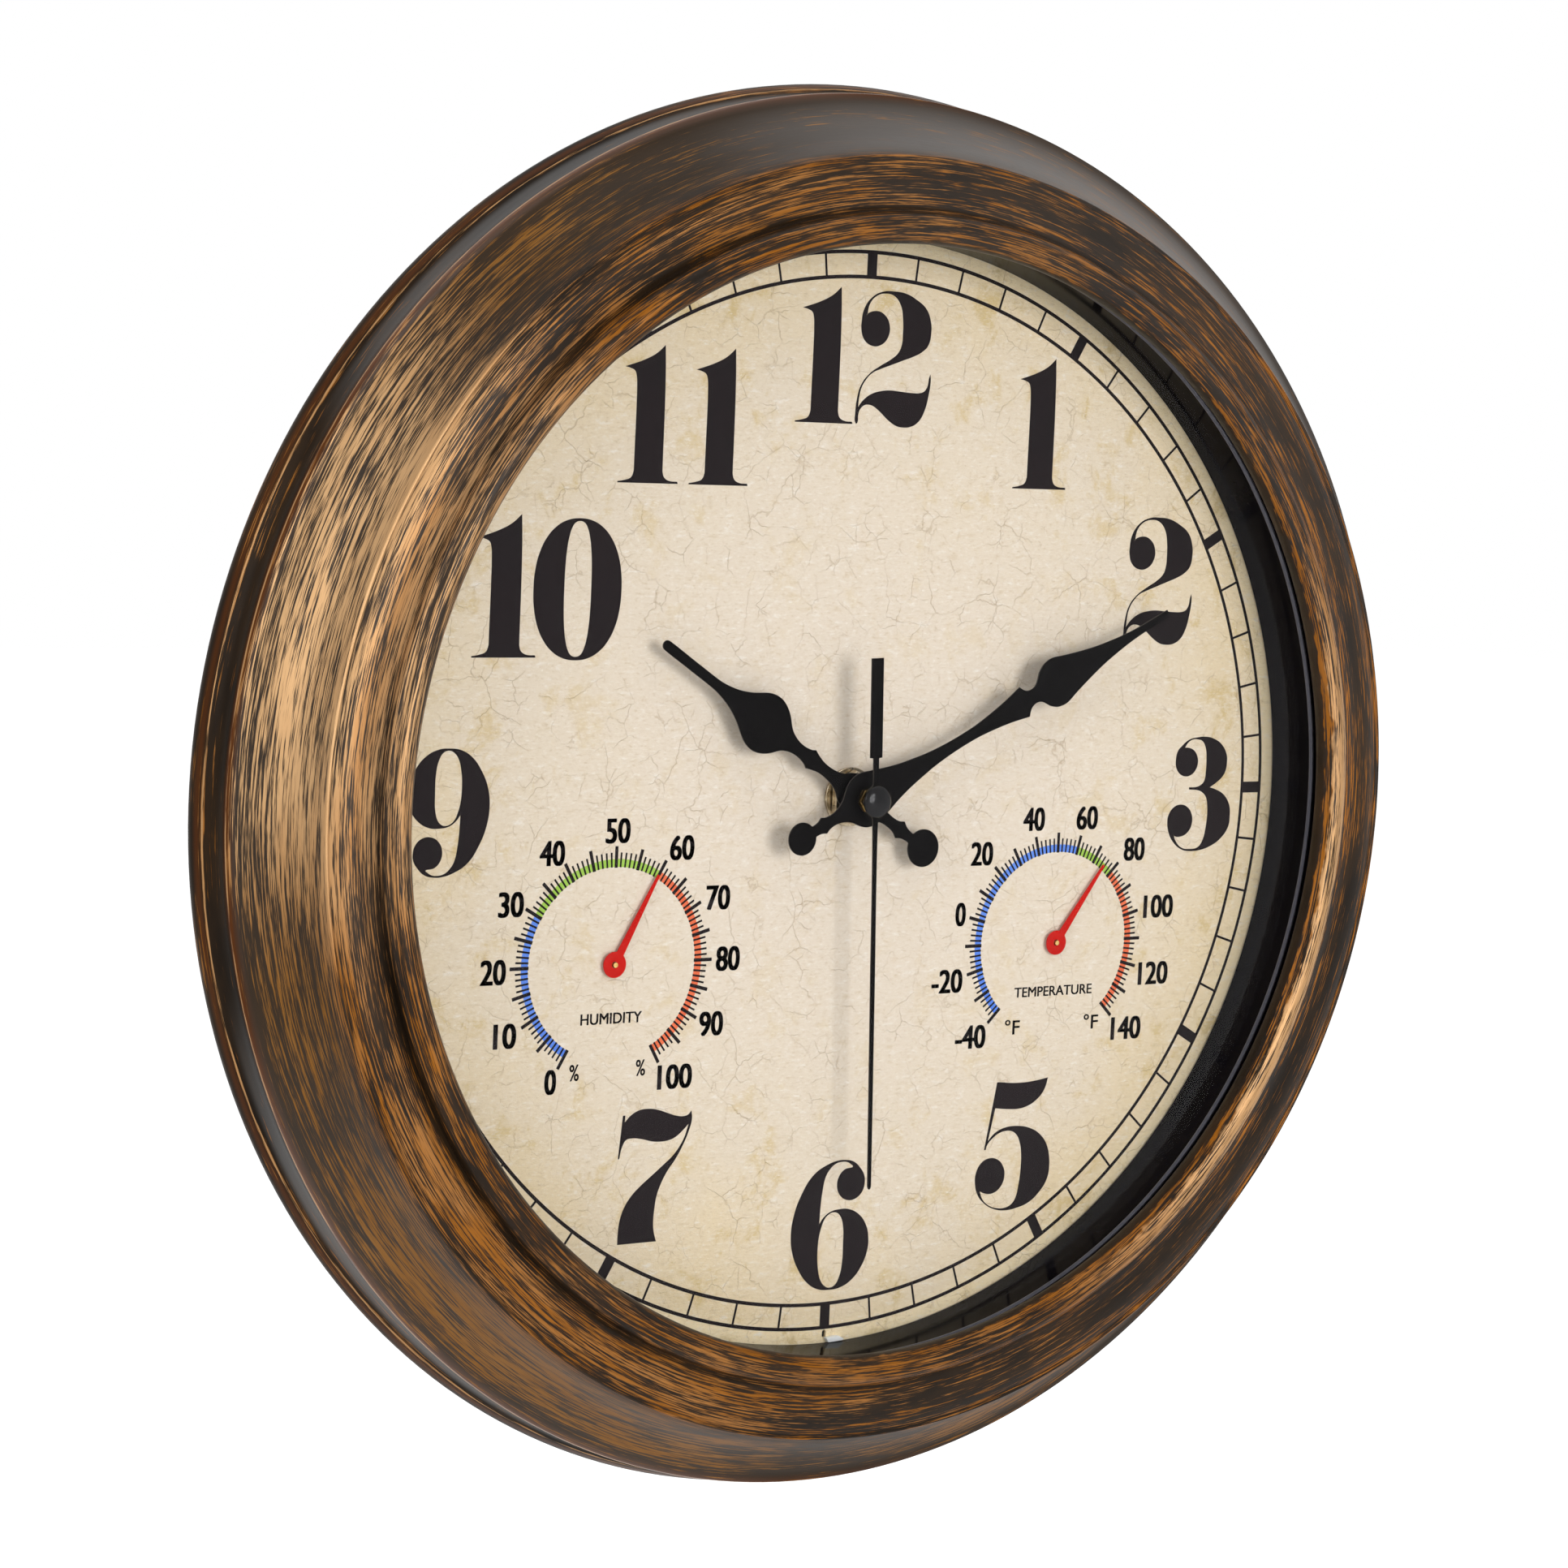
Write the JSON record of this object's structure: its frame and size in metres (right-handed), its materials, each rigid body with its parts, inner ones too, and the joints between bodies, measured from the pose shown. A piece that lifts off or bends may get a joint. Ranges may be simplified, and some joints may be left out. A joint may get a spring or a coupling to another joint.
{
  "type": "outdoor wall clock with thermometer",
  "caption": "Round outdoor wall clock with a deep turned bronze frame, aged parchment dial, three black hands, a humidity gauge and a thermometer.",
  "frame": {"origin": "on the dial's axis where the back cover's flat rear face meets the wall", "axes": "+Z to 12 o'clock, +Y into the wall, so the dial faces -Y; +X to 3 o'clock"},
  "size_m": [0.33, 0.0448, 0.33],
  "materials": {
    "bronze": "near-black brown paint with copper streaks brushed round the ring, satin",
    "gloss_black": "glossy black",
    "clear_glass": "clear, polished",
    "black_rubber": "matt black",
    "parchment": "printed aged parchment, matt",
    "black_cover": "fine-grained matt black",
    "case_black": "moulded, satin black",
    "zinc": "bright zinc plating",
    "hand_black": "matt black paint on stamped sheet",
    "pointer_red": "red paint",
    "brass": "turned brass",
    "white_gear": "natural white moulding",
    "board_green": "green resist",
    "copper": "copper colour",
    "soft_iron": "plain rolled steel",
    "battery_jacket": "plain dark jacket, no print"
  },
  "bodies": {
    "case": {"frame_ring": "bronze", "inner_ring": "gloss_black", "lens": "clear_glass", "lens_gasket": "black_rubber", "dial_plate": "parchment", "rear_spacer": "case_black", "back_gasket": "black_rubber", "back_cover": "black_cover", "movement_rear_case": "case_black", "movement_front_case": "case_black", "battery": "battery_jacket", "contact_positive": "zinc", "contact_negative": "zinc", "threaded_bushing": "brass", "rubber_washer": "black_rubber", "metal_washer": "zinc", "hex_nut": "zinc", "humidity_cup": "case_black", "temperature_cup": "case_black", "humidity_coil": "copper", "temperature_coil": "brass", "stator": "soft_iron", "coil_core": "soft_iron", "coil": "copper", "circuit_board": "board_green", "quartz_can": "zinc", "chip_cover": "gloss_black", "cover_screw_1": "zinc", "cover_screw_2": "zinc", "cover_screw_3": "zinc", "cover_screw_4": "zinc", "cover_screw_5": "zinc", "cover_screw_6": "zinc"},
    "lid": {"battery_lid": "black_cover"},
    "minute": {"minute_hand": "hand_black", "minute_nut": "brass", "minute_arbor": "brass"},
    "hour": {"hour_hand": "hand_black", "hour_wheel": "white_gear"},
    "setting": {"motion_wheel": "white_gear"},
    "second": {"second_hand": "hand_black", "second_cap": "hand_black", "seconds_wheel": "white_gear"},
    "rotor_body": {"rotor": "soft_iron"},
    "intermediate": {"intermediate_wheel": "white_gear"},
    "third": {"third_wheel": "white_gear"},
    "centre": {"centre_wheel": "white_gear"},
    "humidity": {"humidity_pointer": "pointer_red", "humidity_arbor": "brass"},
    "temperature": {"temperature_pointer": "pointer_red", "temperature_arbor": "brass"}
  },
  "joints": [
    {"name": "minute_turn", "type": "hinge", "parent": "case", "child": "minute", "pos_m": [0, -0.0277, 0], "axis": [0, 1, 0], "continuous": true},
    {"name": "hour_turn", "type": "hinge", "parent": "case", "child": "hour", "pos_m": [0, -0.0256, 0], "axis": [0, 1, 0], "continuous": true},
    {"name": "setting_turn", "type": "hinge", "parent": "case", "child": "setting", "pos_m": [0.00707, -0.008, 0.00707], "axis": [0, 1, 0], "continuous": true},
    {"name": "second_turn", "type": "hinge", "parent": "case", "child": "second", "pos_m": [0, -0.0315, 0], "axis": [0, 1, 0], "continuous": true},
    {"name": "intermediate_turn", "type": "hinge", "parent": "case", "child": "intermediate", "pos_m": [-0.00486, -0.005, 0.00579], "axis": [0, 1, 0], "continuous": true},
    {"name": "rotor_turn", "type": "hinge", "parent": "case", "child": "rotor_body", "pos_m": [-0.00486, -0.006, 0.01335], "axis": [0, 1, 0], "continuous": true},
    {"name": "third_turn", "type": "hinge", "parent": "case", "child": "third", "pos_m": [-0.00877, -0.008, -0.00155], "axis": [0, 1, 0], "continuous": true},
    {"name": "centre_turn", "type": "hinge", "parent": "case", "child": "centre", "pos_m": [0, -0.009, 0], "axis": [0, 1, 0], "continuous": true},
    {"name": "humidity_pointer_turn", "type": "hinge", "parent": "case", "child": "humidity", "pos_m": [-0.0633, -0.0215, -0.03695], "axis": [0, 1, 0], "range_deg": [-178.4, 121.6]},
    {"name": "temperature_pointer_turn", "type": "hinge", "parent": "case", "child": "temperature", "pos_m": [0.0633, -0.0215, -0.03695], "axis": [0, 1, 0], "range_deg": [-171.3, 98.7]},
    {"name": "battery_lid_off", "type": "slide", "parent": "case", "child": "lid", "axis": [0, 1, 0], "range_m": [0, 0.02]}
  ],
  "couplings": [
    {"joint": "hour_turn", "follows": "minute_turn", "ratio": 0.083333},
    {"joint": "setting_turn", "follows": "minute_turn", "ratio": -0.33333},
    {"joint": "intermediate_turn", "follows": "second_turn", "ratio": -5},
    {"joint": "rotor_turn", "follows": "second_turn", "ratio": 30},
    {"joint": "third_turn", "follows": "second_turn", "ratio": -0.13333},
    {"joint": "centre_turn", "follows": "second_turn", "ratio": 0.016667}
  ]
}
